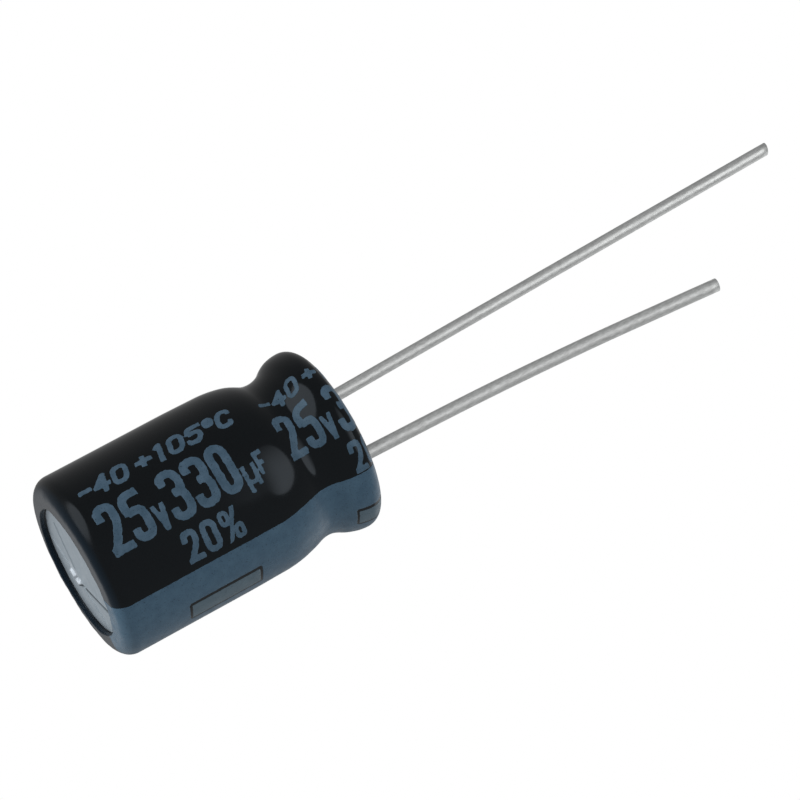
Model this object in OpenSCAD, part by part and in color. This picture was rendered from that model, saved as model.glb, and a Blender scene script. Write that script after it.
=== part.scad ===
// Radial aluminium electrolytic capacitor, standing on its vent end with both leads up.
// The Z axis is the axis of the can. Z = 0 is the underside of the sleeve's lip at the vent end.
// The two leads lie in the XZ plane, the negative one on the +X side.

/* [Can] */
// Outside diameter of the bare can
can_d = 8; // [6.3:0.1:12.5]
// Height of the can from its vent face to the top of its curled rim
can_h = 12.11; // [11:0.01:25]
// Wall of the drawn can
can_wall = 0.25; // [0.2:0.01:0.3]
// Thickness of the closed end
vent_t = 0.3; // [0.25:0.05:0.6]
// Outside radius of the corner at the closed end
can_corner_r = 0.7; // [0.5:0.05:1]

/* [Vent] */
// Direction of the pressure vent's middle line from the negative lead, in degrees
vent_angle = -71; // [-180:1:180]
// Length of the scored spine, which crosses the vent's middle line
spine_len = 4.8; // [3:0.1:5]
// Distance of the spine from the can's axis
spine_offset = 1.6; // [1:0.1:1.8]
// Length of each of the two scored arms that leave the middle of the spine
arm_len = 2.8; // [2:0.1:3.2]
// Angle of each arm from the vent's middle line, in degrees
arm_angle = 49; // [30:1:60]
// Depth of the scored lines
score_depth = 0.12; // [0.05:0.01:0.18]

/* [Groove and rim] */
// Depth of the rolled groove that grips the seal
groove_depth = 0.53; // [0.3:0.01:0.8]
// Radius at the bottom of the groove
groove_root_r = 1.34; // [0.8:0.01:2]
// Radius where the body turns in to the groove
groove_body_r = 4.1; // [2:0.1:5]
// Radius of the bead between the groove and the rim
groove_bead_r = 1.7; // [1:0.1:2.5]
// Outside radius of the curled rim's section
rim_r = 0.56; // [0.45:0.01:0.7]
// Angle through which the rim is curled in, in degrees
rim_angle = 150; // [120:5:170]

/* [Sleeve] */
// Thickness of the shrunk sleeve on the body
sleeve_t = 0.09; // [0.07:0.01:0.15]
// Height of the lip that the sleeve gathers into under the vent end
lip_t = 0.29; // [0.15:0.01:0.4]
// Reach of the lip from the outside of the body to the opening round the vent
lip_w = 1.16; // [1:0.02:1.3]
// Radius of the lip's rounded inner edge
lip_edge_r = 0.07; // [0.03:0.01:0.12]
// Outside radius of the sleeve's corner at the vent end
sleeve_corner_r = 0.75; // [0.5:0.05:0.9]
// Angle through which the sleeve wraps round the curled rim, in degrees
sleeve_angle = 118; // [90:2:140]

/* [Polarity stripe] */
// Width of the printed stripe, measured round the body
stripe_w = 4.5; // [2:0.1:6]
// Turn of the stripe's middle from the negative lead, in degrees
stripe_angle = 12.7; // [-20:0.1:20]
// Depth to which the printed stripe is let into the sleeve
stripe_t = 0.03; // [0.02:0.01:0.05]

/* [End seal] */
// Height of the rubber seal from its inner face to its outer face
seal_h = 3; // [2.4:0.1:3.8]
// Width of the dimple round each lead in the outer face
dimple_w = 0.2; // [0.05:0.05:0.4]
// Depth of that dimple
dimple_depth = 0.15; // [0.05:0.05:0.3]

/* [Leads] */
// Diameter of the tinned wire
lead_d = 0.6; // [0.45:0.05:0.8]
// Distance between the leads where they leave the seal
lead_pitch = 3.5; // [3.2:0.1:3.8]
// Straight rise of each lead out of the seal before it leans outwards
lead_rise = 0.18; // [0:0.02:1]
// Bend radius at the foot of each lead
foot_r = 4; // [1:0.5:10]
// Lean of the positive lead away from the axis, in degrees
positive_lean_angle = 2.06; // [0.5:0.02:6]
// Length of the positive lead above its foot bend
positive_run = 24.2; // [10:0.1:40]
// Slant of the positive lead's sheared tip, in degrees
positive_tip_angle = 14; // [0:1:30]
// Lean of the negative lead at its foot, in degrees
negative_lean_angle = 1.41; // [0.5:0.01:6]
// Length of the negative lead between its foot bend and its bow
negative_run = 3.3; // [1:0.1:10]
// Radius of the negative lead's bow
bow_r = 158; // [40:1:400]
// Angle of the negative lead's bow, in degrees
bow_angle = 3.89; // [0.5:0.01:8]
// Length of the negative lead beyond its bow
negative_end = 3.7; // [1:0.1:10]
// Slant of the negative lead's sheared tip, in degrees
negative_tip_angle = 2; // [0:1:30]
// Direction that both slanted tips face, in degrees from the negative lead's side
tip_facing_angle = -141; // [-180:1:180]
// Loss of the wire's diameter where it is bent
bend_thinning = 0.004; // [0.002:0.001:0.01]

/* [Tabs] */
// Diameter of the round boss that plugs each hole of the seal
boss_d = 1.2; // [0.9:0.05:1.5]
// Rubber left above each boss
boss_cover = 0.9; // [0.5:0.1:1.5]
// Length of the boss that stands out below the seal
boss_drop = 0.3; // [0.1:0.1:0.6]
// Width of the flat blade stitched to the foil
blade_w = 1.5; // [1:0.1:2]
// Thickness of the blade
blade_t = 0.24; // [0.15:0.01:0.35]
// Length of the blade inside the winding
blade_depth = 5.5; // [3:0.1:6.5]

/* [Winding] */
// Diameter of the hole left by the winding mandrel
mandrel_d = 0.9; // [0.5:0.1:1.5]
// Space kept between the winding and the seal
winding_head = 0.8; // [0.5:0.1:2]
// Number of turns drawn on each end, as one spiral gap between them
drawn_turns = 5; // [2:1:8]
// Width of the gap between the turns
turn_gap_w = 0.1; // [0.05:0.01:0.15]
// Depth of that gap, which is how far the paper stands past the foil
turn_gap_depth = 0.25; // [0.1:0.05:0.5]
// Thickness of the closing tape
tape_t = 0.05; // [0.03:0.01:0.08]
// Height of the closing tape
tape_h = 5; // [3:0.1:6]

/* [Clearances] */
// Between the can and its sleeve
sleeve_gap = 0.01; // [0.005:0.005:0.02]
// Between the can and the seal
seal_gap = 0.01; // [0.005:0.005:0.03]
// Between a lead or boss and its hole in the seal
lead_gap = 0.01; // [0.005:0.005:0.03]
// Between the winding and the wall of the can
winding_gap = 0.2; // [0.15:0.01:0.3]
// Between the winding and the floor of the can
floor_gap = 0.1; // [0.05:0.05:0.2]
// Between the winding and what lies against it
wrap_gap = 0.01; // [0.005:0.005:0.02]

/* [Hidden] */

$fn = 96;
wire_fn = 48;
bend_fn = 1440;
bend_lap = 0.05;
arc_steps = 10;
past = 1;

can_r = can_d / 2;
sleeve_r = can_r + sleeve_gap + sleeve_t;
rim_centre = [can_r - rim_r, lip_t + can_h - rim_r];

// The groove is three arcs that meet tangentially, so their heights follow from their radii.
bead_reach = groove_bead_r + groove_root_r;
bead_rise = sqrt(2 * bead_reach * groove_depth - pow(groove_depth, 2));
bead_turn = asin(bead_rise / bead_reach);
body_reach = groove_body_r + groove_root_r;
body_rise = sqrt(2 * body_reach * groove_depth - pow(groove_depth, 2));
body_turn = asin(body_rise / body_reach);
groove_z = rim_centre[1] - bead_rise;
body_z = groove_z - body_rise;

// The seal's outer face is level with the tip of the curled rim.
seal_relief_angle = 2;
seal_off = -can_wall - seal_gap;
seal_edge = rim_centre + polar(rim_r, rim_angle + seal_relief_angle);
seal_top = seal_edge[1];
seal_z = seal_top - seal_h;
boss_top = seal_top - boss_cover;
foot_z = seal_top + lead_rise;

winding_r = can_r - can_wall - winding_gap;
winding_z = lip_t + vent_t + floor_gap;
winding_top = min(body_z, seal_z - winding_head);
stripe_span_angle = stripe_w / sleeve_r * 180 / PI;

function polar(r, a) = r * [cos(a), sin(a)];
function arc(c, r, a0, a1) = [for (i = [0:arc_steps]) c + polar(r, a0 + (a1 - a0) * i / arc_steps)];
function arc_on(c, r, a0, a1) = [for (i = [1:arc_steps]) c + polar(r, a0 + (a1 - a0) * i / arc_steps)];
function reversed(list) = [for (i = [len(list) - 1:-1:0]) list[i]];

// Side of the can from the body's turn to the rim, moved outwards by off.
function side_line(off, a0 = 0) = concat(
    arc([can_r - groove_body_r, body_z], groove_body_r + off, a0, body_turn),
    arc_on([can_r - groove_depth + groove_root_r, groove_z], groove_root_r - off,
        180 + body_turn, 180 - bead_turn),
    arc_on([can_r - groove_bead_r, rim_centre[1]], groove_bead_r + off, -bead_turn, 0)
);

function rim_line(off, angle) = arc_on(rim_centre, rim_r + off, 0, angle);

function corner_line(r, z, corner_r) = arc([r - corner_r, z + corner_r], corner_r, -90, 0);

function can_line(off, z, corner_r) = concat(
    [[0, z]],
    corner_line(can_r + off, z, corner_r),
    side_line(off),
    rim_line(off, rim_angle)
);

// Outside of the sleeve, moved inwards by depth.
function sleeve_line(depth) = concat(
    arc([sleeve_r - sleeve_corner_r, sleeve_corner_r], sleeve_corner_r - depth, -90, 0),
    side_line(sleeve_gap + sleeve_t - depth),
    rim_line(sleeve_gap + sleeve_t - depth, sleeve_angle)
);

module revolve(points, angle = 360) {
    rotate_extrude(angle = angle) polygon(points);
}

module stripe_band(depth_in, depth_out) {
    rotate([0, 0, stripe_angle - stripe_span_angle / 2])
        revolve(concat(sleeve_line(depth_in), reversed(sleeve_line(depth_out))), stripe_span_angle);
}

module sleeve() {
    lip_r = sleeve_r - lip_w;
    color([0.09, 0.1, 0.11])
        difference() {
            revolve(concat(
                [[lip_r, lip_t - sleeve_gap]],
                arc([lip_r + lip_edge_r, lip_edge_r], lip_edge_r, 180, 270),
                sleeve_line(0),
                reversed(concat(
                    arc([can_r - can_corner_r, lip_t + can_corner_r], can_corner_r + sleeve_gap, -90, 0),
                    side_line(sleeve_gap),
                    rim_line(sleeve_gap, sleeve_angle)
                ))
            ));
            stripe_band(stripe_t, -stripe_t);
        }
}

module polarity_stripe() {
    color([0.28, 0.36, 0.42])
        stripe_band(stripe_t, 0);
}

// V-shaped score that runs from the middle of the spine.
module vent_score(length, angle) {
    side = score_depth * sqrt(2);
    rotate([0, 0, angle])
        rotate([45, 0, 0])
            translate([0, -side / 2, -side / 2])
                cube([length, side, side]);
}

module vent_scores() {
    translate([0, 0, lip_t])
        rotate([0, 0, vent_angle])
            translate([-spine_offset, 0, 0])
                for (side = [-1, 1]) {
                    vent_score(spine_len / 2, side * 90);
                    vent_score(arm_len, side * arm_angle);
                }
}

module can() {
    color([0.72, 0.74, 0.76])
        difference() {
            revolve(concat(
                can_line(0, lip_t, can_corner_r),
                reversed(can_line(-can_wall, lip_t + vent_t, can_corner_r - can_wall))
            ));
            vent_scores();
        }
}

module seal_hole(side) {
    translate([side * lead_pitch / 2, 0, 0]) {
        translate([0, 0, seal_z - past])
            cylinder(h = boss_top - seal_z + past, d = boss_d + 2 * lead_gap);
        translate([0, 0, seal_z])
            cylinder(h = seal_h + past, d = lead_d + 2 * lead_gap);
        translate([0, 0, seal_top - dimple_depth])
            cylinder(h = dimple_depth, d1 = lead_d + 2 * lead_gap, d2 = lead_d + 2 * dimple_w);
    }
}

module end_seal() {
    low_turn = asin(max(0, seal_z - body_z) / (groove_body_r + seal_off));
    low_edge = seal_z < body_z ? [[can_r + seal_off, seal_z]] : [];
    color([0.13, 0.13, 0.13])
        difference() {
            revolve(concat(
                [[0, seal_z]],
                low_edge,
                side_line(seal_off, low_turn),
                rim_line(seal_off, rim_angle + seal_relief_angle),
                [seal_edge, [0, seal_top]]
            ));
            for (side = [-1, 1])
                seal_hole(side);
        }
}

module wire(length) {
    cylinder(h = length, d = lead_d, $fn = wire_fn);
}

// Wire that bends from +Z towards +X and laps into the straight wires at its ends.
// The children go on from where the bend ends.
module bend(r, angle) {
    lap = bend_lap / r * 180 / PI;
    translate([r, 0, 0])
        rotate([90, 0, 0])
            rotate([0, 0, 180 - angle - lap])
                rotate_extrude(angle = angle + 2 * lap, $fn = bend_fn)
                    translate([r, 0])
                        circle(d = lead_d - bend_thinning, $fn = wire_fn);
    translate([r - r * cos(angle), 0, r * sin(angle)])
        rotate([0, angle, 0])
            children();
}

// Straight wire that ends in a sheared tip, longest on the side that turn points to.
module tip(length, slant, turn) {
    difference() {
        wire(length + lead_d);
        translate([0, 0, length])
            rotate([0, 0, turn])
                rotate([0, -slant, 0])
                    translate([-lead_d, -lead_d, 0])
                        cube(2 * lead_d);
    }
}

module lead_foot(lean) {
    translate([lead_pitch / 2, 0, boss_top]) {
        wire(foot_z - boss_top);
        translate([0, 0, foot_z - boss_top])
            bend(foot_r, lean)
                children();
    }
}

module positive_lead() {
    color([0.74, 0.74, 0.73])
        rotate([0, 0, 180])
            lead_foot(positive_lean_angle)
                tip(positive_run, positive_tip_angle, tip_facing_angle + 180);
}

module negative_lead() {
    color([0.74, 0.74, 0.73])
        lead_foot(negative_lean_angle) {
            wire(negative_run);
            translate([0, 0, negative_run])
                bend(bow_r, bow_angle)
                    tip(negative_end, negative_tip_angle, tip_facing_angle);
        }
}

module tab(side) {
    blade_z = winding_top - blade_depth;
    boss_z = seal_z - boss_drop;
    translate([side * lead_pitch / 2, 0, 0]) {
        translate([0, 0, boss_z])
            cylinder(h = boss_top - boss_z, d = boss_d);
        translate([-blade_t / 2, -blade_w / 2, blade_z])
            cube([blade_t, blade_w, boss_z - blade_z + boss_drop / 2]);
    }
}

module positive_tab() {
    color([0.8, 0.8, 0.82]) tab(-1);
}

module negative_tab() {
    color([0.66, 0.67, 0.7]) tab(1);
}

module blade_pocket(side) {
    pocket_t = blade_t + 2 * wrap_gap;
    pocket_w = blade_w + 2 * wrap_gap;
    translate([side * lead_pitch / 2 - pocket_t / 2, -pocket_w / 2, winding_top - blade_depth - wrap_gap])
        cube([pocket_t, pocket_w, blade_depth + past]);
}

// Spiral gap between the turns, made of half turns about two centres, open upwards from height z.
module turn_gap(z) {
    turn_step = (winding_r - mandrel_d / 2) / (drawn_turns + 1);
    start_r = (mandrel_d + turn_step - turn_gap_w) / 2;
    for (i = [0:2 * drawn_turns - 1])
        translate([(i % 2 - 0.5) * turn_step / 2, 0, z])
            rotate([0, 0, 180 * i])
                rotate_extrude(angle = 180)
                    translate([start_r + i * turn_step / 2, 0])
                        square([turn_gap_w, turn_gap_depth]);
}

module winding() {
    color([0.76, 0.7, 0.58])
        difference() {
            translate([0, 0, winding_z])
                cylinder(h = winding_top - winding_z, r = winding_r);
            translate([0, 0, winding_z - past])
                cylinder(h = winding_top - winding_z + 2 * past, d = mandrel_d);
            for (z = [winding_z, winding_top - turn_gap_depth])
                turn_gap(z);
            for (side = [-1, 1])
                blade_pocket(side);
        }
}

module winding_tape() {
    tape_z = (winding_z + winding_top - tape_h) / 2;
    color([0.85, 0.78, 0.52])
        translate([0, 0, tape_z])
            difference() {
                cylinder(h = tape_h, r = winding_r + wrap_gap + tape_t);
                translate([0, 0, -past])
                    cylinder(h = tape_h + 2 * past, r = winding_r + wrap_gap);
            }
}

sleeve();
polarity_stripe();
can();
end_seal();
positive_lead();
negative_lead();
positive_tab();
negative_tab();
winding();
winding_tape();
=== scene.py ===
# Radial electrolytic capacitor: printed film sleeve, scored vent, rubber seal and tinned wires,
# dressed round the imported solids. Sizes are in millimetres until a mesh is made.

import math

import bpy
import numpy as np
from mathutils import Matrix, Vector, noise


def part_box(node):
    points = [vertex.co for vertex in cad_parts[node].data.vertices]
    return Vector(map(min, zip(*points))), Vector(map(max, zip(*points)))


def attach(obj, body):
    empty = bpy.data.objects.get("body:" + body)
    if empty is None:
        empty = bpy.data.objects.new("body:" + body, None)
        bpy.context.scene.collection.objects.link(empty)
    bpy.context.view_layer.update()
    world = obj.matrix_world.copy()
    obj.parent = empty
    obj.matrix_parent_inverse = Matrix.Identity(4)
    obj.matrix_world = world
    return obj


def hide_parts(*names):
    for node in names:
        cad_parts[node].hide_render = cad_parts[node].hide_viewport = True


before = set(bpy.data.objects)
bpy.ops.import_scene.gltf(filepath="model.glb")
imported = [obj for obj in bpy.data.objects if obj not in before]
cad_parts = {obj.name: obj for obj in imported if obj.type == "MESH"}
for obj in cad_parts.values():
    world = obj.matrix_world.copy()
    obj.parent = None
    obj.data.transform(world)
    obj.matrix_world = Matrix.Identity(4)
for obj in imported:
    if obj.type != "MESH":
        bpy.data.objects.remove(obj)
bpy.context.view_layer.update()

MM = 0.001


def node_box(node):
    """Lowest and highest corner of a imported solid, in millimetres."""
    low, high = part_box(node)
    return low / MM, high / MM


CAN_LOW, CAN_HIGH = node_box("can")
SLEEVE_LOW = node_box("sleeve")[0]
SEAL_HIGH = node_box("end_seal")[1]
POSITIVE_LOW, POSITIVE_HIGH = node_box("positive_lead")

# Can
CAN_R = CAN_HIGH.x
CAN_WALL = 0.25
CAN_CORNER_R = 0.4
VENT_Z = CAN_LOW.z
VENT_T = 0.3
GROOVE_DEPTH = 0.53
GROOVE_ROOT_R = 1.34
GROOVE_BODY_R = 4.1
GROOVE_BEAD_R = 1.7
RIM_R = 0.56
RIM_ANGLE = 150

# Sleeve
SLEEVE_R = -SLEEVE_LOW.x
SLEEVE_OFF = SLEEVE_R - CAN_R
SLEEVE_GAP = 0.01
SLEEVE_CORNER_R = 0.75
SLEEVE_ANGLE = 118
LIP_R = 2.94
LIP_EDGE_R = 0.07
LIP_TOP = VENT_Z - SLEEVE_GAP

# Places of the print and the film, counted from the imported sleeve's outside, and the ink's depth
INK_OFF = -0.001
FILM_OFF = -0.005
INK_DEPTH = 0.02

# The photograph is taken from this side, so the print is placed from here.
FRONT_AZIMUTH = math.radians(-50.8)


class Straight:
    """Straight stretch of a profile in (r, z), with its outside on the right of its way."""

    def __init__(self, start, end):
        self.start = Vector(start)
        self.way = Vector(end) - self.start
        self.length = self.way.length

    def at(self, distance):
        way = self.way / self.length
        return self.start + way * distance, Vector((way.y, -way.x))


class Arc:
    """Round stretch of a profile in (r, z), with its angles in degrees."""

    def __init__(self, centre, radius, start, end):
        self.centre = Vector(centre)
        self.radius = radius
        self.start = math.radians(start)
        self.turn = math.radians(end - start)
        self.length = radius * abs(self.turn)

    def at(self, distance):
        angle = self.start + self.turn * distance / self.length
        out = Vector((math.cos(angle), math.sin(angle)))
        return self.centre + out * self.radius, out * math.copysign(1, self.turn)


class Profile:
    """Stretches in a row. s is the distance along them, counted from a chosen start."""

    def __init__(self, start, *stretches):
        self.start = start
        self.stretches = stretches
        self.end = start + sum(stretch.length for stretch in stretches)

    def at(self, s):
        """Place at s, and the way outwards there."""
        s -= self.start
        for stretch in self.stretches[:-1]:
            if s <= stretch.length:
                return stretch.at(s)
            s -= stretch.length
        return self.stretches[-1].at(s)

    def samples(self, counts):
        """Places along the profile, with as many steps on each stretch as counts says."""
        s = self.start
        places = [s]
        for stretch, count in zip(self.stretches, counts):
            places += [s + stretch.length * (i + 1) / count for i in range(count)]
            s += stretch.length
        return places


CAN_CORNER = (CAN_R - CAN_CORNER_R, VENT_Z + CAN_CORNER_R)
RIM_CENTRE = (CAN_R - RIM_R, CAN_HIGH.z - RIM_R)
BEAD_REACH = GROOVE_BEAD_R + GROOVE_ROOT_R
BEAD_RISE = math.sqrt(2 * BEAD_REACH * GROOVE_DEPTH - GROOVE_DEPTH ** 2)
BEAD_TURN = math.degrees(math.asin(BEAD_RISE / BEAD_REACH))
BODY_REACH = GROOVE_BODY_R + GROOVE_ROOT_R
BODY_RISE = math.sqrt(2 * BODY_REACH * GROOVE_DEPTH - GROOVE_DEPTH ** 2)
BODY_TURN = math.degrees(math.asin(BODY_RISE / BODY_REACH))
GROOVE_Z = RIM_CENTRE[1] - BEAD_RISE
BODY_Z = GROOVE_Z - BODY_RISE


def side(off, rim_angle):
    """The can's side from the top of its straight body to the rim, moved outwards by off."""
    return [
        Arc((CAN_R - GROOVE_BODY_R, BODY_Z), GROOVE_BODY_R + off, 0, BODY_TURN),
        Arc((CAN_R - GROOVE_DEPTH + GROOVE_ROOT_R, GROOVE_Z), GROOVE_ROOT_R - off,
            180 + BODY_TURN, 180 - BEAD_TURN),
        Arc((CAN_R - GROOVE_BEAD_R, RIM_CENTRE[1]), GROOVE_BEAD_R + off, -BEAD_TURN, 0),
        Arc(RIM_CENTRE, RIM_R + off, 0, rim_angle),
    ]


def can_wall(off, rim_angle):
    """The can's wall from its closed end to the rim, moved outwards by off."""
    return [
        Arc(CAN_CORNER, CAN_CORNER_R + off, -90, 0),
        Straight((CAN_R + off, CAN_CORNER[1]), (CAN_R + off, BODY_Z)),
        *side(off, rim_angle),
    ]


def sleeve_outside():
    """Outside of the sleeve, on which s equals z along the straight body."""
    corner = (SLEEVE_R - SLEEVE_CORNER_R, SLEEVE_CORNER_R)
    foot = [
        Straight((LIP_R, LIP_TOP), (LIP_R, LIP_EDGE_R)),
        Arc((LIP_R + LIP_EDGE_R, LIP_EDGE_R), LIP_EDGE_R, 180, 270),
        Straight((LIP_R + LIP_EDGE_R, 0), (corner[0], 0)),
        Arc(corner, SLEEVE_CORNER_R, -90, 0),
    ]
    body = Straight((SLEEVE_R, SLEEVE_CORNER_R), (SLEEVE_R, BODY_Z))
    start = SLEEVE_CORNER_R - sum(stretch.length for stretch in foot)
    return Profile(start, *foot, body, *side(SLEEVE_OFF, SLEEVE_ANGLE))


def sleeve_inside():
    lip = Straight((LIP_R, LIP_TOP), (CAN_CORNER[0], LIP_TOP))
    return Profile(0, lip, *can_wall(SLEEVE_GAP, SLEEVE_ANGLE))


OUTSIDE = sleeve_outside()
INSIDE = sleeve_inside()
FLAT_START = OUTSIDE.start + OUTSIDE.stretches[0].length + OUTSIDE.stretches[1].length
CORNER_START = FLAT_START + OUTSIDE.stretches[2].length
RIM_START = OUTSIDE.end - OUTSIDE.stretches[-1].length


def smooth(low, high, x):
    """0 up to low and 1 from high on, with a soft rise between them."""
    t = min(max((x - low) / (high - low), 0), 1)
    return t * t * (3 - 2 * t)


def swell(low, full, fading, high, x):
    """1 from full to fading and 0 outside low and high, with soft slopes."""
    return smooth(low, full, x) * (1 - smooth(fading, high, x))


def round_noise(turn, waves, height=0.0):
    """Noise round the axis, from -1 to 1."""
    return noise.noise(Vector((math.cos(turn) * waves, math.sin(turn) * waves, height)))


def full_turn(columns):
    return [2 * math.pi * i / columns for i in range(columns)]


def turned(r, z, turn):
    """Point at a radius and a height, turned round the axis."""
    return Vector((r * math.cos(turn), r * math.sin(turn), z))


# Shrunk film: how high each unevenness is, and where along s it comes and goes
FILM_WAVES = 0.003
LIP_WRINKLES = 0.04
LIP_SPAN = (FLAT_START - 0.1, CORNER_START + 0.9)
HEM_WRINKLES = 0.02
HEM_SPAN = (OUTSIDE.end - 0.8, OUTSIDE.end - 0.1)
NECK_TAPER = 0.03
NECK_SPAN = (BODY_Z - 1.8, BODY_Z + 0.4, BODY_Z + 0.4, BODY_Z + 1.9)
GROOVE_RUNOUT = 0.05
GROOVE_SPAN = (BODY_Z + 1.2, BODY_Z + 2.2, RIM_START - 1.3, RIM_START - 0.5)
RUNOUT_AZIMUTH = FRONT_AZIMUTH + math.radians(90)
LIP_SHRUNK = 0.05
LIP_NEAR = 0.28
LIP_FAR = 0.39
LIP_REACH = 0.6
EDGE_WAVES = 0.1
EDGE_RAGGED = 0.02
EDGE_SHORT = 0.05


def film_dent(s, turn):
    """How far the shrunk film lies under its nominal outside."""
    waves = FILM_WAVES * (1 + round_noise(turn, 1.3, s * 0.22))
    lip = 1 - smooth(*LIP_SPAN, s)
    wrinkles = 0.5 + 0.7 * round_noise(turn, 3.5, s * 0.8) + 0.3 * round_noise(turn, 14, s * 1.6)
    hem = smooth(*HEM_SPAN, s) * (0.5 + 0.5 * round_noise(turn, 11, s * 0.5))
    neck = NECK_TAPER * swell(*NECK_SPAN, s)
    runout = GROOVE_RUNOUT * swell(*GROOVE_SPAN, s) * math.cos(turn - RUNOUT_AZIMUTH)
    return waves + neck + LIP_WRINKLES * lip * max(wrinkles, 0) + HEM_WRINKLES * max(hem, 0) - runout


def lip_shift(distance, turn):
    """How far the film is shrunk inwards at a distance from the lip's edge. The opening is off centre."""
    near = math.cos(turn - FRONT_AZIMUTH)
    shift = LIP_SHRUNK * (1 + 0.5 * round_noise(turn, 4, 9.0))
    shift += LIP_NEAR * max(near, 0) ** 2 - LIP_FAR * max(-near, 0) ** 1.5
    return shift * (1 - smooth(0, LIP_REACH, distance))


def film_point(s, turn, off):
    """Point of the sleeve's outside at s, moved outwards by off."""
    edge = EDGE_WAVES * round_noise(turn, 1.6, 3.0) + EDGE_RAGGED * round_noise(turn, 9, 5.0) - EDGE_SHORT
    s += edge * smooth(RIM_START, OUTSIDE.end, s)
    place, out = OUTSIDE.at(s)
    place = place + out * (off - film_dent(s, turn))
    return turned(place.x - lip_shift(s - FLAT_START, turn), place.y, turn)


def add_mesh(name, vertices, faces, material, slot, replaced=()):
    """A smooth-shaded piece of the object, from points in millimetres."""
    mesh = bpy.data.meshes.new(name)
    mesh.from_pydata([tuple(Vector(v) * MM) for v in vertices], [], faces)
    mesh.update()
    mesh.shade_smooth()
    piece = bpy.data.objects.new(name, mesh)
    bpy.context.scene.collection.objects.link(piece)
    piece.data.materials.append(material)
    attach(piece, "root")
    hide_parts(*replaced)
    return piece


def renumbered(faces, by):
    return [tuple(corner + by for corner in face) for face in faces]


def ring_faces(rings, columns, closed):
    """Faces between rings of points, each ring going round once."""
    faces = []
    for ring in range(rings if closed else rings - 1):
        low = ring * columns
        high = (ring + 1) % rings * columns
        for column in range(columns):
            after = (column + 1) % columns
            faces.append((low + column, low + after, high + after, high + column))
    return faces


def capped_faces(rings, columns):
    """Faces of rings that the first point of all closes at one end, and the last point at the other."""
    faces = renumbered(ring_faces(rings, columns, closed=False), 1)
    end = 1 + (rings - 1) * columns
    faces += [(0, 1 + (i + 1) % columns, 1 + i) for i in range(columns)]
    faces += [(end + i, end + (i + 1) % columns, end + columns) for i in range(columns)]
    return faces


FILM_COLUMNS = 360
FILM_STEPS = (4, 4, 6, 16, 36, 16, 20, 14, 16)
LINING_STEPS = (5, 8, 4, 8, 10, 8, 10)
LINING_SHORT = 0.1


def make_film(material):
    turns = full_turn(FILM_COLUMNS)
    outer = OUTSIDE.samples(FILM_STEPS)
    inner = INSIDE.samples(LINING_STEPS)[::-1]
    vertices = [film_point(s, turn, FILM_OFF) for s in outer for turn in turns]
    for s in inner:
        place = INSIDE.at(s - LINING_SHORT * smooth(INSIDE.end - 1, INSIDE.end, s))[0]
        vertices += [turned(place.x - lip_shift(s, turn), place.y, turn) for turn in turns]
    faces = ring_faces(len(outer) + len(inner), FILM_COLUMNS, closed=True)
    return add_mesh("sleeve_film", vertices, faces, material, "sleeve_film", ["sleeve"])


# Print on the film. x runs along the film towards the leads, and y runs round it, upwards as the
# text is read. x equals s on the straight body, and the film is shrunk along its length past it.

SHRUNK = 1.17
PRINT_PITCH = 8.77
PRINT_CELL = 0.05
PRINT_MARGIN = 0.04
PRINT_END = BODY_Z + (OUTSIDE.end - BODY_Z) * SHRUNK - PRINT_MARGIN
RAGGED = 0.025
FAR_OFF = 1e3
SHORTEST = 1e-6
CORNER_STEPS = 6


def print_point(x, y, off):
    s = x if x < BODY_Z else BODY_Z + (x - BODY_Z) / SHRUNK
    return film_point(s, FRONT_AZIMUTH - y / SLEEVE_R, off)


def up(degrees):
    """Height y of an angle, which is counted downwards from the side of the photograph."""
    return -math.radians(degrees) * SLEEVE_R


def rounded(points, radius):
    """The same line with its inner corners rounded."""
    line = [Vector(points[0])]
    for before, corner, after in zip(points, points[1:], points[2:]):
        corner = Vector(corner)
        back = Vector(before) - corner
        on = Vector(after) - corner
        start = corner + back * min(0.5, radius / back.length)
        end = corner + on * min(0.5, radius / on.length)
        for i in range(CORNER_STEPS + 1):
            t = i / CORNER_STEPS
            line.append(start * (1 - t) ** 2 + corner * 2 * t * (1 - t) + end * t ** 2)
    line.append(Vector(points[-1]))
    return line


def line_distance(x, y, line, half):
    """Distance from a stroke's edge, below zero inside it. Its two ends are square."""
    nearest = np.full(x.shape, FAR_OFF)
    for i, (start, end) in enumerate(zip(line, line[1:])):
        length = (end - start).length
        if length < SHORTEST:
            continue
        way = (end - start) / length
        along = (x - start.x) * way.x + (y - start.y) * way.y
        across = np.abs((x - start.x) * way.y - (y - start.y) * way.x)
        before = np.maximum(-along, 0)
        past = np.maximum(along - length, 0)
        stroke = np.hypot(across, before + past) - half
        if i == 0:
            stroke = np.where(before > 0, np.maximum(across - half, before), stroke)
        if i == len(line) - 2:
            stroke = np.where(past > 0, np.maximum(across - half, past), stroke)
        nearest = np.minimum(nearest, stroke)
    return nearest


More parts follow.
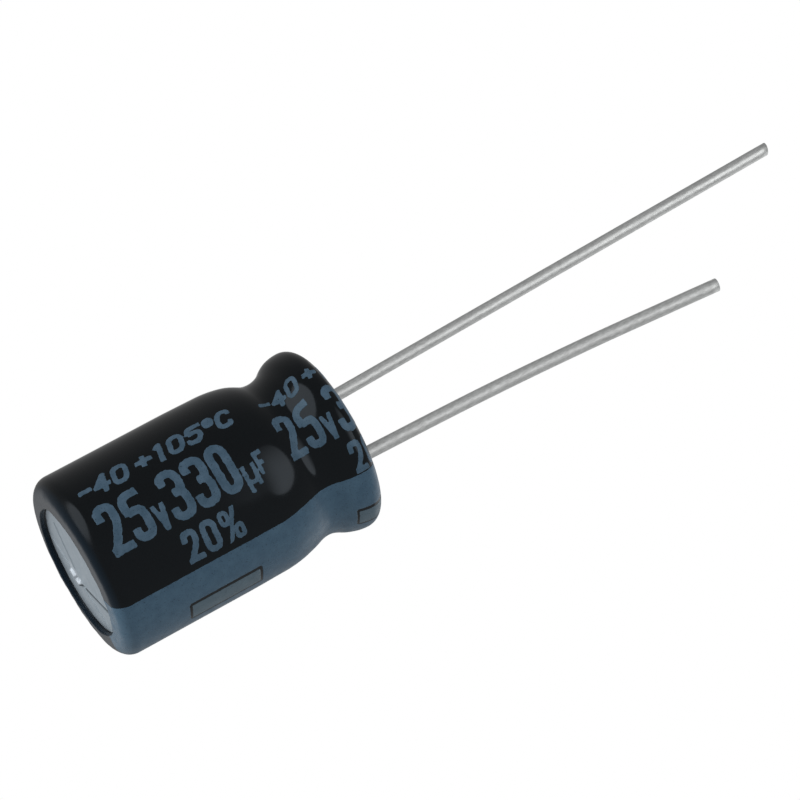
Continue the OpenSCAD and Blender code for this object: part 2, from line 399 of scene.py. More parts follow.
# Strokes of each character, in a cell that is one unit wide and high, which cuts off what lies
# outside it. A soft character's strokes are rounded at their corners, a sharp one's aren't.
SOFT = {
    "0": [[(0, 0.5), (0, 1), (1, 1), (1, 0), (0, 0), (0, 0.52)]],
    "2": [[(0, 0.7), (0, 1), (1, 1), (1, 0.6), (-0.05, -0.05)], [(-0.3, 0), (1.3, 0)]],
    "3": [[(0, 0.76), (0, 1), (1, 1), (1, 0.53), (0.36, 0.53)],
          [(0.36, 0.53), (1, 0.53), (1, 0), (0, 0), (0, 0.24)]],
    "5": [[(1.3, 1), (0, 1), (0, 0.56)], [(0, 0.6), (1, 0.62), (1, 0), (0, 0), (0, 0.24)]],
    "C": [[(1, 0.72), (1, 1), (0, 1), (0, 0), (1, 0), (1, 0.28)]],
    "µ": [[(0, 1.3), (0, -0.9)], [(0, 0.5), (0, 0), (0.9, 0), (1, 0.4)], [(1, 1.3), (1, -0.3)]],
    "°": [[(0.5, 0.56), (0, 0.56), (0, 1), (1, 1), (1, 0.56), (0.48, 0.56)]],
    "%": [[(0.2, 0.6), (0, 0.6), (0, 1), (0.4, 1), (0.4, 0.6), (0.18, 0.6)],
          [(0.8, 0), (0.6, 0), (0.6, 0.4), (1, 0.4), (1, 0), (0.78, 0)], [(0.06, -0.2), (0.94, 1.2)]],
}
SHARP = {
    "1": [[(0.1, 0.76), (0.6, 1.02), (0.6, -0.3)]],
    "4": [[(0.72, -0.3), (0.72, 1), (0, 0.32), (1.3, 0.32)]],
    "V": [[(-0.12, 1.3), (0.5, -0.1), (1.12, 1.3)]],
    "F": [[(0, -0.3), (0, 1), (1.3, 1)], [(0, 0.5), (0.9, 0.5)]],
    "+": [[(-0.3, 0.5), (1.3, 0.5)], [(0.5, 0.14), (0.5, 0.86)]],
    "-": [[(-0.3, 0.5), (1.3, 0.5)]],
}
MU_TAIL = 0.36
SOFT_CORNER = 0.42


class Character:
    """One printed character, given by its box on the film and the width of its stroke."""

    def __init__(self, shape, left, base, width, height, stroke, slant=0.0):
        self.box = (left, base, width, height)
        self.half = stroke / 2
        self.slant = slant
        self.foot = base - MU_TAIL * height if shape == "µ" else base
        radius = 0.0 if shape in SHARP else min(width, height) * SOFT_CORNER
        self.lines = [
            rounded([self.place(point) for point in line], radius)
            for line in SHARP.get(shape) or SOFT[shape]
        ]

    def place(self, point):
        left, base, width, height = self.box
        x = left + self.half + point[0] * (width - 2 * self.half)
        y = base + self.half + point[1] * (height - 2 * self.half)
        return Vector((x + (y - base) * self.slant, y))

    def distance(self, x, y):
        """Distance from the character's edge, below zero inside its strokes."""
        left, base, width, height = self.box
        nearest = np.full(x.shape, FAR_OFF)
        for line in self.lines:
            nearest = np.minimum(nearest, line_distance(x, y, line, self.half))
        aside = np.abs(x - (y - base) * self.slant - left - width / 2) - width / 2
        return np.maximum.reduce([nearest, aside, y - base - height, self.foot - y])


# Lines of the print. The angles of their foot and top are in degrees, as up takes them.
RATING_ANGLES = (3.5, -28.5)
RATING_STROKE = 0.36
VOLT_STROKE = 0.21
UNIT_STROKE = 0.19
HEAT_ANGLE = -34
HEAT_START = 0.86
HEAT_HEIGHT = 1.02
HEAT_WIDTH = 0.78
HEAT_NARROW = {"-": 0.62, "1": 0.6, "°": 0.5}
HEAT_STROKE = 0.23
HEAT_SLANT = 0.25
HEAT_GAP = 0.07
HEAT_SPACE = 0.24
TOLERANCE_ANGLES = (28, 8)
TOLERANCE_WIDTH = 0.74
TOLERANCE_STROKE = 0.26


def rating(shift, lift):
    """The line of large figures and its units."""
    base = up(RATING_ANGLES[0]) + lift
    tall = up(RATING_ANGLES[1]) - up(RATING_ANGLES[0])
    return [
        Character("2", 0.93 + shift, base, 0.99, tall, RATING_STROKE),
        Character("5", 2.05 + shift, base, 0.98, tall, RATING_STROKE),
        Character("V", 3.11 + shift, base, 0.6, 1.16, VOLT_STROKE),
        Character("3", 3.84 + shift, base, 1.04, tall, RATING_STROKE),
        Character("3", 4.97 + shift, base, 1.04, tall, RATING_STROKE),
        Character("0", 6.1 + shift, base, 0.97, tall, RATING_STROKE),
        Character("µ", 7.14 + shift, base - 0.02, 0.64, 0.86, UNIT_STROKE),
        Character("F", 7.86 + shift, base + 0.14, 0.5, 1.04, UNIT_STROKE),
    ]


def heat_range(shift, lift):
    """The smaller slanted line above it, with plain temperatures."""
    base = up(HEAT_ANGLE) + lift
    left = HEAT_START + shift
    characters = []
    for shape in "-40 +105°C":
        if shape == " ":
            left += HEAT_SPACE
            continue
        width = HEAT_NARROW.get(shape, HEAT_WIDTH)
        characters.append(Character(shape, left, base, width, HEAT_HEIGHT, HEAT_STROKE, HEAT_SLANT))
        left += width + HEAT_GAP
    return characters


def tolerance(shift, lift):
    """The short line below, which gives the tolerance."""
    base = up(TOLERANCE_ANGLES[0]) + lift
    tall = up(TOLERANCE_ANGLES[1]) - up(TOLERANCE_ANGLES[0])
    return [
        Character("2", 3.6 + shift, base, TOLERANCE_WIDTH, tall, TOLERANCE_STROKE),
        Character("0", 4.47 + shift, base, TOLERANCE_WIDTH, tall, TOLERANCE_STROKE),
        Character("%", 5.34 + shift, base, 0.96, tall, UNIT_STROKE),
    ]


def contour_cells(x, y, value):
    """Polygons that cover the places of a grid where value is below zero."""
    points = []
    index = {}

    def point(key, px, py):
        if key not in index:
            index[key] = len(points)
            points.append((px, py))
        return index[key]

    polygons = []
    inside = value < 0
    corners = ((0, 0), (1, 0), (1, 1), (0, 1))
    touched = inside[:-1, :-1] | inside[1:, :-1] | inside[1:, 1:] | inside[:-1, 1:]
    for i, j in zip(*np.nonzero(touched)):
        polygon = []
        for (a, b), (c, d) in zip(corners, corners[1:] + corners[:1]):
            here, there = (i + a, j + b), (i + c, j + d)
            if inside[here]:
                polygon.append(point(here, x[here[0]], y[here[1]]))
            if inside[here] != inside[there]:
                t = value[here] / (value[here] - value[there])
                key = (min(here, there), max(here, there))
                px = x[here[0]] + (x[there[0]] - x[here[0]]) * t
                py = y[here[1]] + (y[there[1]] - y[here[1]]) * t
                polygon.append(point(key, px, py))
        polygons.append(polygon)
    return points, polygons


def ink_solid(x, y, value):
    """Thin closed layer of ink where value is below zero, let into the film."""
    points, polygons = contour_cells(x, y, value)
    count = len(points)
    vertices = [print_point(px, py, INK_OFF) for px, py in points]
    vertices += [print_point(px, py, INK_OFF - INK_DEPTH) for px, py in points]
    faces = [tuple(polygon) for polygon in polygons]
    faces += renumbered([polygon[::-1] for polygon in polygons], count)
    edges = {(a, b) for polygon in polygons for a, b in zip(polygon, polygon[1:] + polygon[:1])}
    faces += [(b, a, a + count, b + count) for a, b in sorted(edges) if (b, a) not in edges]
    return vertices, faces


def ragged(x, y):
    """Small unevenness of the printed edges, in millimetres."""
    spread = [[noise.noise(Vector((px * 4, py * 4, 0))) + 1.2 * noise.noise(Vector((px * 9, py * 9, 4)))
               for py in y] for px in x]
    return RAGGED * np.array(spread)


def grid(left, right, low, high):
    x = np.arange(left, right + PRINT_CELL, PRINT_CELL)
    y = np.arange(low, high + PRINT_CELL, PRINT_CELL)
    return x, y


def print_line(characters):
    """Ink of one line of characters, cut off where the film ends."""
    reach = PRINT_CELL * 4
    left = min(c.box[0] for c in characters) - reach
    right = max(c.box[0] + c.box[2] for c in characters) + reach * 2
    low = min(c.box[1] for c in characters) - reach * 2
    high = max(c.box[1] + c.box[3] for c in characters) + reach
    x, y = grid(left, min(right, PRINT_END), low, high)
    across, upward = np.meshgrid(x, y, indexing="ij")
    value = np.full(across.shape, FAR_OFF)
    for character in characters:
        value = np.minimum(value, character.distance(across, upward))
    return ink_solid(x, y, value + ragged(x, y))


def joined(solids):
    vertices = []
    faces = []
    for part_vertices, part_faces in solids:
        faces += renumbered(part_faces, len(vertices))
        vertices += part_vertices
    return vertices, faces


def make_figures(material):
    """The printed lines, which repeat along the film and again on its far side."""
    for name, lift in (("front", 0.0), ("back", math.pi * SLEEVE_R)):
        solids = []
        for shift in (0.0, PRINT_PITCH):
            for line in (rating, heat_range, tolerance):
                solids.append(print_line(line(shift, lift)))
        add_mesh("printed_figures_" + name, *joined(solids), material, "stripe_print")


# Stripe, with its angles in degrees, as up takes them. Each flare widens it on both sides by an
# angle, from a start and over a length.
STRIPE_LOW = 95
STRIPE_HIGH = 32.5
STRIPE_FLARES = ((2.2, 8, 1.6), (1.6, 9.8, 3))
STRIPE_MARGINS = (4, 6)
STRIPE_RAGGED = 0.5
MINUS_ENDS = (3.08, 6.42)
MINUS_ANGLES = (71.5, 55.5)
MINUS_SHIFTS = (0.0, PRINT_PITCH + 0.1)
MINUS_LINE = 0.06
MINUS_TOP_LINE = 0.09


def box_outline(x, y, left, right, low, high):
    """Distance from a thin rectangle drawn on the stripe, whose upper line is thicker."""
    corners = [Vector(c) for c in ((left, low), (right, low), (right, high), (left, high), (left, low))]
    halves = (MINUS_LINE, MINUS_LINE, MINUS_TOP_LINE, MINUS_LINE)
    value = np.full(x.shape, FAR_OFF)
    for start, end, half in zip(corners, corners[1:], halves):
        value = np.minimum(value, line_distance(x, y, [start, end], half))
    return value


def make_stripe(material, sign_material):
    """The polarity stripe, with the outlines of its minus signs left open to the black film."""
    low, high = up(STRIPE_LOW + STRIPE_MARGINS[0]), up(STRIPE_HIGH - STRIPE_MARGINS[1])
    x, y = grid(FLAT_START - 0.02, PRINT_END, low, high)
    across, upward = np.meshgrid(x, y, indexing="ij")
    flare = sum(angle * np.clip((across - start) / length, 0, 1) for angle, start, length in STRIPE_FLARES)
    high_edge = up(STRIPE_HIGH) + np.radians(flare) * SLEEVE_R
    low_edge = up(STRIPE_LOW) - np.radians(flare) * SLEEVE_R
    stripe = np.maximum(upward - high_edge, low_edge - upward)
    signs = np.full(across.shape, FAR_OFF)
    for shift in MINUS_SHIFTS:
        left, right = MINUS_ENDS[0] + shift, MINUS_ENDS[1] + shift
        low, high = up(MINUS_ANGLES[0]), up(MINUS_ANGLES[1])
        outline = box_outline(across, upward, left, right, low, high)
        inside = np.maximum.reduce([left - across, across - right, low - upward, upward - high])
        stripe = np.maximum.reduce([stripe, -outline, -inside])
        signs = np.minimum(signs, np.maximum(inside, -outline))
    uneven = ragged(x, y) * STRIPE_RAGGED
    add_mesh("stripe_ink", *ink_solid(x, y, stripe + uneven), material, "stripe_print", ["polarity_stripe"])
    add_mesh("minus_ink", *ink_solid(x, y, signs + uneven), sign_material, "stripe_print")


# Vent end of the can, with its scored spine and two arms, and the edge that the scoring lifted
VENT_ANGLE = -71
VENT_WAVES = 0.006
SPINE_LEN = 4.8
SPINE_OFFSET = 1.6
ARM_LEN = 2.9
ARM_ANGLES = (55, -50)
SCORE_DEPTH = 0.16
SCORE_HALF = 0.09
BURR = 0.018
BURR_WIDTH = 0.05
LIFT = 0.15
LIFT_LEN = 0.96
LIFT_START = (0.15, 0.06)
LIFT_ANGLE = -84
LIFT_TOOTH = 0.48
LIFT_NOTCH = 0.07
LIFT_SKEW = 0.3
LIFT_FADE = 0.1
LIFT_FRONT = 0.06
LIFT_BACK = (0.08, 0.5)


def vent_point(start, angle, length):
    """Place on the vent's face at a length from another, at an angle from the vent's own."""
    return start + Matrix.Rotation(math.radians(VENT_ANGLE + angle), 2) @ Vector((length, 0))


SCORES = ((90, SPINE_LEN / 2), (-90, SPINE_LEN / 2), (ARM_ANGLES[0], ARM_LEN), (ARM_ANGLES[1], ARM_LEN))
VENT_MIDDLE = vent_point(Vector((0, 0)), 180, SPINE_OFFSET)
VENT_LINES = [(VENT_MIDDLE, vent_point(VENT_MIDDLE, angle, length)) for angle, length in SCORES]
LIFT_AT = vent_point(vent_point(VENT_MIDDLE, 0, LIFT_START[0]), 90, LIFT_START[1])
LIFT_WAY = vent_point(Vector((0, 0)), LIFT_ANGLE, 1)


def segment_distance(place, start, end):
    way = end - start
    t = min(max((place - start).dot(way) / way.length_squared, 0), 1)
    return (place - start - way * t).length


def lifted(place):
    """Height of the two-toothed edge that the scoring has lifted, above the vent's face."""
    along = (place - LIFT_AT).dot(LIFT_WAY)
    across = (place - LIFT_AT).dot(Vector((LIFT_WAY.y, -LIFT_WAY.x)))
    tooth = along % LIFT_TOOTH
    across -= LIFT_SKEW * tooth * (1 - smooth(LIFT_TOOTH - LIFT_NOTCH, LIFT_TOOTH, tooth))
    reach = swell(0, LIFT_FADE, LIFT_LEN - LIFT_FADE, LIFT_LEN, along)
    return LIFT * reach * swell(-LIFT_FRONT, LIFT_FRONT, *LIFT_BACK, across)


def vent_dent(place):
    """How far the vent's face lies inside its plane at a place."""
    near = min(segment_distance(place, start, end) for start, end in VENT_LINES)
    score = SCORE_DEPTH * max(1 - near / SCORE_HALF, 0)
    burr = BURR * math.exp(-((near - SCORE_HALF - BURR_WIDTH) / BURR_WIDTH) ** 2)
    waves = VENT_WAVES * noise.noise(Vector((place.x * 0.8, place.y * 0.8, 7)))
    lift = lifted(place)
    return score * (1 - lift / LIFT) - burr + waves - lift


CAN_COLUMNS = 360
VENT_RINGS = 110
CAN_OUTER_STEPS = (10, 4, 8, 10, 8, 20)
CAN_INNER_STEPS = (6, 2, 6, 8, 6, 10)


def make_can(material):
    turns = full_turn(CAN_COLUMNS)
    vertices = [(0, 0, VENT_Z)]
    for i in range(VENT_RINGS):
        r = CAN_CORNER[0] * (i + 1) / VENT_RINGS
        for turn in turns:
            place = Vector((r * math.cos(turn), r * math.sin(turn)))
            vertices.append((place.x, place.y, VENT_Z + vent_dent(place)))
    outer = Profile(0, *can_wall(0, RIM_ANGLE))
    inner = Profile(0, *can_wall(-CAN_WALL, RIM_ANGLE))
    rows = [outer.at(s)[0] for s in outer.samples(CAN_OUTER_STEPS)[1:]]
    rows += [inner.at(s)[0] for s in inner.samples(CAN_INNER_STEPS)[::-1]]
    for row in rows:
        vertices += [turned(row.x, row.y, turn) for turn in turns]
    vertices.append((0, 0, VENT_Z + VENT_T))
    faces = capped_faces(VENT_RINGS + len(rows), CAN_COLUMNS)
    return add_mesh("can_shell", vertices, faces, material, "can_aluminium", ["can"])


# Leads. Each is a little worn, its angles are in degrees, and a bow's length is its radius.
LEAD_R = POSITIVE_HIGH.y
LEAD_WORN = {"positive_lead": 0.022, "negative_lead": 0.009}
LEAD_WAVES = 0.003
LEAD_COLUMNS = 40
LEAD_STEP = 0.4
LEAD_X = -POSITIVE_HIGH.x + LEAD_R
LEAD_BASE = POSITIVE_LOW.z
FOOT_Z = SEAL_HIGH.z + 0.18
FOOT_R = 4
FOOT_STEPS = (0.3, 0.05)
POSITIVE_LEAN = 2.06
POSITIVE_PARTS = (("straight", 24.15, 0),)
NEGATIVE_LEAN = 1.41
NEGATIVE_PARTS = (("straight", 3.3, 0), ("bow", 158, 3.89), ("straight", 3.7, 0))
TIP_BEVEL = 0.012
TIP_SCALE = 0.95


def bent(start, angle, radius, turn, step):
    """Points and leans along a bend in (x, z) that leans further outwards."""
    points = []
    place = Vector(start)
    count = max(2, round(radius * math.radians(turn) / step))
    part = math.radians(turn) / count
    for _ in range(count):
        angle += part
        place = place + Vector((math.sin(angle - part / 2), math.cos(angle - part / 2))) * radius * part
        points.append((place.copy(), angle))
    return points


def straight(start, angle, length, step):
    """Points and leans along a straight length in (x, z)."""
    count = max(1, round(length / step))
    way = Vector((math.sin(angle), math.cos(angle))) * length / count
    return [(Vector(start) + way * (i + 1), angle) for i in range(count)]


def lead_route(lean, parts):
    """Points and leans of a lead's middle line, from the weld in the seal to its tip."""
    route = [(Vector((LEAD_X, LEAD_BASE)), 0.0)]
    route += straight(route[-1][0], 0.0, FOOT_Z - LEAD_BASE, FOOT_STEPS[0])
    route += bent(route[-1][0], 0.0, FOOT_R, lean, FOOT_STEPS[1])
    for kind, length, turn in parts:
        place, angle = route[-1]
        if kind == "straight":
            route += straight(place, angle, length, LEAD_STEP)
        else:
            route += bent(place, angle, length, turn, LEAD_STEP)
    return route


def make_lead(name, side_sign, route, tip_angle, facing, material):
    """Round wire swept along its route, with a sheared tip."""
    slope = math.tan(math.radians(tip_angle))
    tip_way = Vector((math.cos(math.radians(facing)), math.sin(math.radians(facing))))
    last, lean = route[-1]
    tip = last + Vector((math.sin(lean), math.cos(lean))) * TIP_BEVEL
    rings = [(place, angle, 1.0, 0.0) for place, angle in route[:-1]]
    rings += [(last, lean, 1.0, slope), (tip, lean, TIP_SCALE, slope)]
    ways = [Vector((math.cos(turn), math.sin(turn))) for turn in full_turn(LEAD_COLUMNS)]
    vertices = [(side_sign * route[0][0].x, 0, route[0][0].y)]
    for place, angle, scale, shear in rings:
        for way in ways:
            waves = LEAD_WAVES * noise.noise(Vector((*way, place.y * 0.7 + side_sign)))
            r = (LEAD_R - LEAD_WORN[name] + waves) * scale
            across = way * r
            rise = across.dot(tip_way) * shear
            x = place.x + across.x * math.cos(angle) + rise * math.sin(angle)
            z = place.y - across.x * math.sin(angle) + rise * math.cos(angle)
            vertices.append((side_sign * x, side_sign * across.y, z))
    vertices.append((side_sign * tip.x, 0, tip.y))
    faces = capped_faces(len(rings), LEAD_COLUMNS)
    return add_mesh(name + "_wire", vertices, faces, material, "tinned_wire", [name])


def make_leads(material):
    positive = lead_route(POSITIVE_LEAN, POSITIVE_PARTS)
    make_lead("positive_lead", -1, positive, tip_angle=14, facing=39, material=material)
    negative = lead_route(NEGATIVE_LEAN, NEGATIVE_PARTS)
    make_lead("negative_lead", 1, negative, tip_angle=2, facing=-141, material=material)


class Tree:
    """Shader nodes of a material, a lamp or the world."""

    def __init__(self, owner):
        owner.use_nodes = True
        self.nodes = owner.node_tree.nodes
        self.links = owner.node_tree.links

    def node(self, kind, *sources, **settings):
        """A new node. Each source is linked to the next of its inputs, or is that input's value."""
        node = self.nodes.new("ShaderNode" + kind)
        for name, value in settings.items():
            setattr(node, name, value)
        for socket, source in zip(node.inputs, sources):
            if isinstance(source, bpy.types.NodeSocket):
                self.links.new(source, socket)
            else:
                socket.default_value = source
        return node

    def calculate(self, operation, *sources):
        """Outcome of an operation on numbers."""
        return self.node("Math", *sources, operation=operation).outputs["Value"]

    def measure(self, operation, *sources):
        """Number that an operation on vectors gives."""
        return self.node("VectorMath", *sources, operation=operation).outputs["Value"]

    def spread(self, source, low, high, start=0.3, end=0.7, interpolation="LINEAR"):
        """Source, moved from start to end into low to high."""
        reach = self.node("MapRange", source, start, end, low, high, interpolation_type=interpolation)
        return reach.outputs["Result"]


class Look(Tree):
    """A material made of nodes round one Principled shader."""

    def __init__(self, name, colour, roughness, **sockets):
        self.material = bpy.data.materials.new(name)
        super().__init__(self.material)
        self.inputs = self.nodes["Principled BSDF"].inputs
        self.inputs["Base Color"].default_value = (*colour, 1)
        self.inputs["Roughness"].default_value = roughness
        for socket, value in sockets.items():
            self.inputs[socket.replace("_", " ")].default_value = value
        self.place = self.node("TexCoord").outputs["Object"]

    def noise(self, size, stretch=(1, 1, 1), detail=3.0):
        """Noise whose features are about size millimetres across."""
        mapping = self.node("Mapping", self.place)
        mapping.inputs["Scale"].default_value = tuple(part / (size * MM) for part in stretch)
        texture = self.node("TexNoise", mapping.outputs["Vector"])
        texture.inputs["Scale"].default_value = 1
        texture.inputs["Detail"].default_value = detail
        return texture.outputs["Fac"]

    def foot(self, low, high):
        """1 below one height and 0 above another, in millimetres."""
        height = self.node("SeparateXYZ", self.place).outputs["Z"]
        return self.spread(height, 1, 0, low * MM, high * MM)

    def stroke(self, start, end, half):
        """1 on a straight line between two places in millimetres, seen along the axis, 0 beside it."""
        way = end - start
        corner = (start.x * MM, start.y * MM, 0)
        turn = (0, 0, math.atan2(way.y, way.x))
        local = self.node("Mapping", self.place, corner, turn, vector_type="TEXTURE")
        split = self.node("SeparateXYZ", local.outputs["Vector"]).outputs
        aside = self.spread(self.calculate("ABSOLUTE", split["Y"]), 1, 0, half * 0.5 * MM, half * MM)
        begun = self.spread(split["X"], 0, 1, -half * MM, 0)
        left = self.spread(split["X"], 1, 0, way.length * MM, (way.length + half) * MM)
        return self.calculate("MULTIPLY", aside, self.calculate("MULTIPLY", begun, left))

    def mix(self, source, first, second):
        """Mix of two colours, each a triple or another node's output."""
        mix = self.node("Mix", source, data_type="RGBA")
        for socket, value in zip(mix.inputs[6:8], (first, second)):
            if isinstance(value, tuple):
                socket.default_value = (*value, 1)
            else:
                self.links.new(value, socket)
        return mix.outputs[2]

    def colour(self, output):
        self.links.new(output, self.inputs["Base Color"])

    def roughness(self, output):
        self.links.new(output, self.inputs["Roughness"])

    def bump(self, source, height):
        """Bump from a noise, height millimetres deep, on top of the bumps before it."""
        bump = self.node("Bump")
        bump.inputs["Strength"].default_value = 1
        bump.inputs["Distance"].default_value = height * MM
        self.links.new(source, bump.inputs["Height"])
        normal = self.inputs["Normal"]
        if normal.is_linked:
            self.links.new(normal.links[0].from_socket, bump.inputs["Normal"])
        self.links.new(bump.outputs["Normal"], normal)


def film_look():
    look = Look("black_film", (0.0025, 0.003, 0.0035), 0.1, Specular_IOR_Level=0.24)
    look.inputs["Specular Tint"].default_value = (0.78, 0.89, 1, 1)
    creased = look.spread(look.foot(0.3, 0.7), 0, 0.14, 0, 1)
    look.roughness(look.calculate("ADD", look.spread(look.noise(1.1), 0.09, 0.13), creased))
    body = look.mix(look.spread(look.noise(0.05), 0, 1), (0.0015, 0.0019, 0.0022), (0.0032, 0.004, 0.0046))
    # The film is painted paler and bluer towards the lip: a painted reflection of the light under the can.
    look.colour(look.mix(look.foot(0.05, 0.35), body, (0.004, 0.012, 0.022)))
    look.bump(look.noise(0.5, (1, 1, 0.4)), 0.0005)
    return look.material


def ink_look(name, dark, light):
    """Ink with a few pinholes, painted paler where the film turns under the can as a painted reflection of
    the light below.
    """
    look = Look(name, light, 0.3, Specular_IOR_Level=0.22)
    look.inputs["Specular Tint"].default_value = (0.7, 0.9, 1, 1)
    body = look.mix(look.spread(look.noise(0.45, detail=5), 0, 1), dark, light)
    # Painted reflection: the ink is made paler where the film turns under the can.
    pale = look.mix(look.foot(0.05, 0.4), body, tuple(part * 1.5 for part in light))
    holes = look.spread(look.noise(0.045, detail=1), 0, 1, 0.66, 0.72)
    look.colour(look.mix(holes, pale, (0.012, 0.02, 0.03)))
    look.roughness(look.spread(look.noise(0.3), 0.22, 0.4))
    look.bump(look.noise(0.12), 0.0005)
    return look.material


# Painted shade in the vent's scores: how dark it is on each score, and how wide.
SCORE_PAINTED_SHADE = (0.3, 0.3, 0.95, 0.35)
SCORE_SHADE_HALF = SCORE_HALF * 1.3
# Painted highlight on the lifted edge: where it starts along the edge, and how wide it is.
LIFT_HIGHLIGHT_START = 0.14
LIFT_HIGHLIGHT_HALF = 0.24


def aluminium_look(name, scored=False):
    """Drawn aluminium. Where it is scored, the scores are darkened with painted shade and the lifted edge
    is lightened with a painted highlight.
    """
    look = Look(name, (0.43, 0.49, 0.54), 0.5, Metallic=0.5)
    tone_shade_and_highlight = look.mix(look.spread(look.noise(0.35, detail=5), 0, 1), (0.385, 0.46, 0.52), (0.45, 0.52, 0.58))
    if scored:
        # Painted shade: a dark colour laid along each score.
        for (start, end), dark in zip(VENT_LINES, SCORE_PAINTED_SHADE):
            line = look.spread(look.stroke(start, end, SCORE_SHADE_HALF), 0, dark, 0, 1)
            tone_shade_and_highlight = look.mix(line, tone_shade_and_highlight, (0.02, 0.025, 0.03))
        # Painted highlight: a pale colour laid along the lifted edge.
        edge = (LIFT_AT + LIFT_WAY * LIFT_HIGHLIGHT_START, LIFT_AT + LIFT_WAY * LIFT_LEN)
        tone_shade_and_highlight = look.mix(look.stroke(*edge, LIFT_HIGHLIGHT_HALF), tone_shade_and_highlight, (0.59, 0.65, 0.71))
    look.colour(tone_shade_and_highlight)
    look.roughness(look.spread(look.noise(0.2, (1, 0.3, 1), 4), 0.42, 0.55))
    look.bump(look.noise(0.06, detail=4), 0.0012)
    return look.material


def wire_look():
    """Satin tin with a fine grain and faint marks along the wire."""
    look = Look("tinned_wire", (0.69, 0.69, 0.68), 0.35, Metallic=1.0)
    grain = look.noise(0.09, (1, 1, 0.35), 3)
    look.colour(look.mix(look.spread(grain, 0, 1), (0.56, 0.57, 0.565), (0.74, 0.755, 0.75)))
    look.roughness(look.spread(look.noise(0.5, (1, 1, 0.3)), 0.42, 0.52))
    look.bump(look.noise(0.12, (1, 1, 0.05), 4), 0.0005)
    look.bump(grain, 0.0014)
    look.bump(look.noise(0.9, (1, 1, 0.5), 1), 0.003)
    return look.material


def rubber_look():
    look = Look("seal_rubber", (0.02, 0.02, 0.02), 0.55)
    look.colour(look.mix(look.spread(look.noise(0.08), 0, 1), (0.014, 0.014, 0.015), (0.03, 0.03, 0.03)))
    look.roughness(look.spread(look.noise(0.4), 0.45, 0.7))
    look.bump(look.noise(0.1, detail=4), 0.004)
    return look.material


def paper_look(name, dark, light, stretch):
    look = Look(name, light, 0.7)
    look.colour(look.mix(look.spread(look.noise(0.2, stretch, 4), 0, 1), dark, light))
    look.bump(look.noise(0.1, stretch), 0.003)
    return look.material


def dress_nodes():
    """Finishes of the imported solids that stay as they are."""
    tab = aluminium_look("tab_aluminium")
    looks = {
        "end_seal": rubber_look(),
        "positive_tab": tab,
        "negative_tab": tab,
        "winding": paper_look("wound_paper", (0.42, 0.34, 0.22), (0.56, 0.48, 0.34), (1, 1, 0.2)),
        "winding_tape": paper_look("closing_tape", (0.55, 0.42, 0.16), (0.66, 0.54, 0.24), (0.3, 0.3, 1)),
    }
    for node, material in looks.items():
        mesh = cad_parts[node].data
        mesh.materials.clear()
        mesh.materials.append(material)


# Camera, in the photograph's place
CAMERA_AT = Vector((89.856, -110.174, -27.063))
CAMERA_TARGET = Vector((0.055, 0.045, 15.696))
CAMERA_ROLL = 61.65
CAMERA_LENS = 158.315
SENSOR = 36


def camera_axes():
    """The camera's way to the right, to the top and ahead."""
    ahead = (CAMERA_TARGET - CAMERA_AT).normalized()
    level = ahead.cross(Vector((0, 0, 1))).normalized()
    upright = level.cross(ahead)
    roll = math.radians(CAMERA_ROLL)
    right = level * math.cos(roll) + upright * math.sin(roll)
    top = upright * math.cos(roll) - level * math.sin(roll)
    return right, top, ahead


def make_camera():
    right, top, ahead = camera_axes()
    data = bpy.data.cameras.new("camera")
    data.lens = CAMERA_LENS
    data.sensor_width = SENSOR
    data.clip_start = 0.01
    data.clip_end = 10
    camera = bpy.data.objects.new("camera", data)
    bpy.context.scene.collection.objects.link(camera)
    turn = Matrix((right, top, -ahead)).transposed()
    camera.matrix_world = Matrix.Translation(CAMERA_AT * MM) @ turn.to_4x4()
    bpy.context.scene.camera = camera


LAMP_TARGET = Vector((0, 0, 8))
LAMP_DISTANCE = 300
KEY_FADE_ACROSS = (-0.2, 0.6)
KEY_FADE_UP = (-0.06, 0.55)


def fade_lamp(data, across, upwards):
    """Dims a lamp towards its left and its lower edge, from full at the second place of each pair."""
    tree = Tree(data)
    split = tree.node("SeparateXYZ", tree.node("NewGeometry").outputs["Parametric"]).outputs
    left = tree.spread(split["X"], 0, 1, *across, "SMOOTHSTEP")
    low = tree.spread(split["Y"], 0, 1, *upwards, "SMOOTHSTEP")
    tree.links.new(tree.calculate("MULTIPLY", left, low), tree.nodes["Emission"].inputs["Strength"])


def softbox(name, azimuth, elevation, width, height, brightness):
    """Round or oval lamp that faces the can. Its azimuth is counted from the camera's side."""
    turn = FRONT_AZIMUTH + math.radians(azimuth)
    rise = math.radians(elevation)
    way = Vector((math.cos(turn) * math.cos(rise), math.sin(turn) * math.cos(rise), math.sin(rise)))
    data = bpy.data.lights.new(name, "AREA")
    data.shape = "ELLIPSE"
    data.size = width * MM
    data.size_y = height * MM
    data.energy = brightness * math.pi ** 2 / 4 * width * height * MM ** 2
    lamp = bpy.data.objects.new(name, data)
    bpy.context.scene.collection.objects.link(lamp)
    lamp.location = (LAMP_TARGET + way * LAMP_DISTANCE) * MM
    lamp.rotation_mode = "QUATERNION"
    lamp.rotation_quaternion = (-way).to_track_quat("-Z", "Y")
    lamp.visible_camera = False
    return data


def make_lights():
    key = softbox("key_softbox", azimuth=4, elevation=31.7, width=319, height=203, brightness=1.95)
    fade_lamp(key, KEY_FADE_ACROSS, KEY_FADE_UP)
    softbox("side_softbox", azimuth=125, elevation=45, width=290, height=270, brightness=0.6)
    softbox("low_softbox", azimuth=-61, elevation=-35, width=250, height=339, brightness=1.85)
    softbox("low_back_softbox", azimuth=180, elevation=-24, width=260, height=120, brightness=0.25)
    softbox("back_softbox", azimuth=180, elevation=55, width=270, height=270, brightness=0.35)


WHITE = (1, 1, 1, 1)
AMBIENT = 0.6
STUDIO_TONES = (0.27, 0.42)
STUDIO_LIGHTER = FRONT_AZIMUTH + math.radians(60)
BACKDROP_EDGE = (0.965, 1.015)


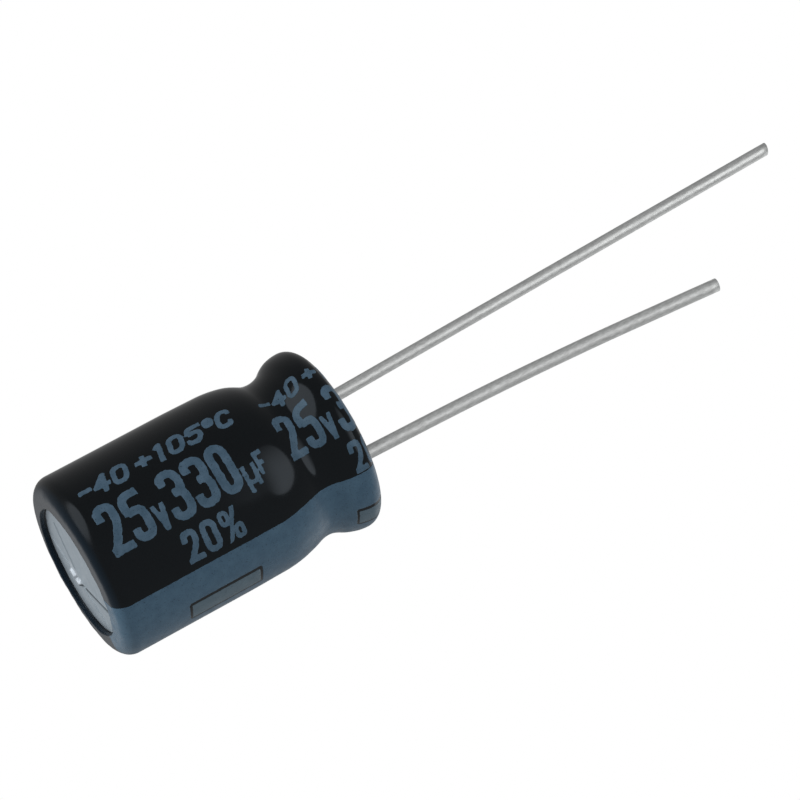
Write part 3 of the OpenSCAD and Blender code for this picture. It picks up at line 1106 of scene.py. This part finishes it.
def make_world():
    """White to the camera, a dim studio in reflections and an even light on the surfaces."""
    world = bpy.data.worlds.new("studio")
    bpy.context.scene.world = world
    tree = Tree(world)
    tree.nodes.clear()
    path = tree.node("LightPath").outputs
    way = tree.node("TexCoord").outputs["Generated"]
    ahead = tree.measure("DOT_PRODUCT", way, camera_axes()[2])
    lighter = (math.cos(STUDIO_LIGHTER), math.sin(STUDIO_LIGHTER), 0)
    aside = tree.measure("DOT_PRODUCT", way, lighter)
    studio = tree.node("Background", tree.spread(aside, *STUDIO_TONES, -1, 1))
    ambient = tree.node("Background", WHITE, AMBIENT)
    white = tree.node("Background", WHITE)
    lit = tree.node("MixShader", path["Is Glossy Ray"], ambient.outputs[0], studio.outputs[0])
    backdrop = tree.spread(ahead, 0, 1, *BACKDROP_EDGE, "SMOOTHSTEP")
    reflected = tree.calculate("MULTIPLY", path["Is Glossy Ray"], backdrop)
    direct = tree.calculate("MAXIMUM", path["Is Camera Ray"], path["Is Transmission Ray"])
    shown = tree.calculate("MAXIMUM", direct, reflected)
    seen = tree.node("MixShader", shown, lit.outputs[0], white.outputs[0])
    tree.node("OutputWorld", seen.outputs[0])


FLOOR_SIZE = 600
FLOOR_DROP = 0.02
FLOOR_FADE = (60, 240)
FLOOR_COLOUR = (0.86, 0.86, 0.86, 1)


def floor_look():
    """Pale floor, seen from above only, which fades into the white round the object."""
    material = bpy.data.materials.new("pale_floor")
    tree = Tree(material)
    tree.nodes.clear()
    is_camera = tree.node("LightPath").outputs["Is Camera Ray"]
    behind = tree.node("NewGeometry").outputs["Backfacing"]
    far = tree.measure("LENGTH", tree.node("TexCoord").outputs["Object"])
    near = tree.spread(far, 1, 0, FLOOR_FADE[0] * MM, FLOOR_FADE[1] * MM, "SMOOTHSTEP")
    seen = tree.calculate("MULTIPLY", tree.calculate("SUBTRACT", 1, behind), is_camera)
    shown = tree.calculate("MULTIPLY", seen, near)
    clear = tree.node("BsdfTransparent")
    pale = tree.node("BsdfDiffuse", FLOOR_COLOUR)
    surface = tree.node("MixShader", shown, clear.outputs[0], pale.outputs[0])
    tree.node("OutputMaterial", surface.outputs[0])
    return material


def make_floor():
    half = FLOOR_SIZE / 2 * MM
    mesh = bpy.data.meshes.new("floor")
    corners = [(-half, -half, 0), (half, -half, 0), (half, half, 0), (-half, half, 0)]
    mesh.from_pydata(corners, [], [(0, 1, 2, 3)])
    mesh.materials.append(floor_look())
    floor = bpy.data.objects.new("floor", mesh)
    floor.location.z = -FLOOR_DROP * MM
    bpy.context.scene.collection.objects.link(floor)


bpy.context.scene.view_settings.view_transform = "Standard"
make_camera()
make_film(film_look())
make_stripe(
    ink_look("stripe_ink", (0.042, 0.081, 0.124), (0.054, 0.101, 0.149)),
    ink_look("minus_ink", (0.060, 0.094, 0.120), (0.076, 0.114, 0.143)),
)
make_figures(ink_look("figure_ink", (0.038, 0.071, 0.106), (0.064, 0.107, 0.155)))
make_can(aluminium_look("drawn_aluminium", scored=True))
make_leads(wire_look())
dress_nodes()
make_lights()
make_world()
make_floor()
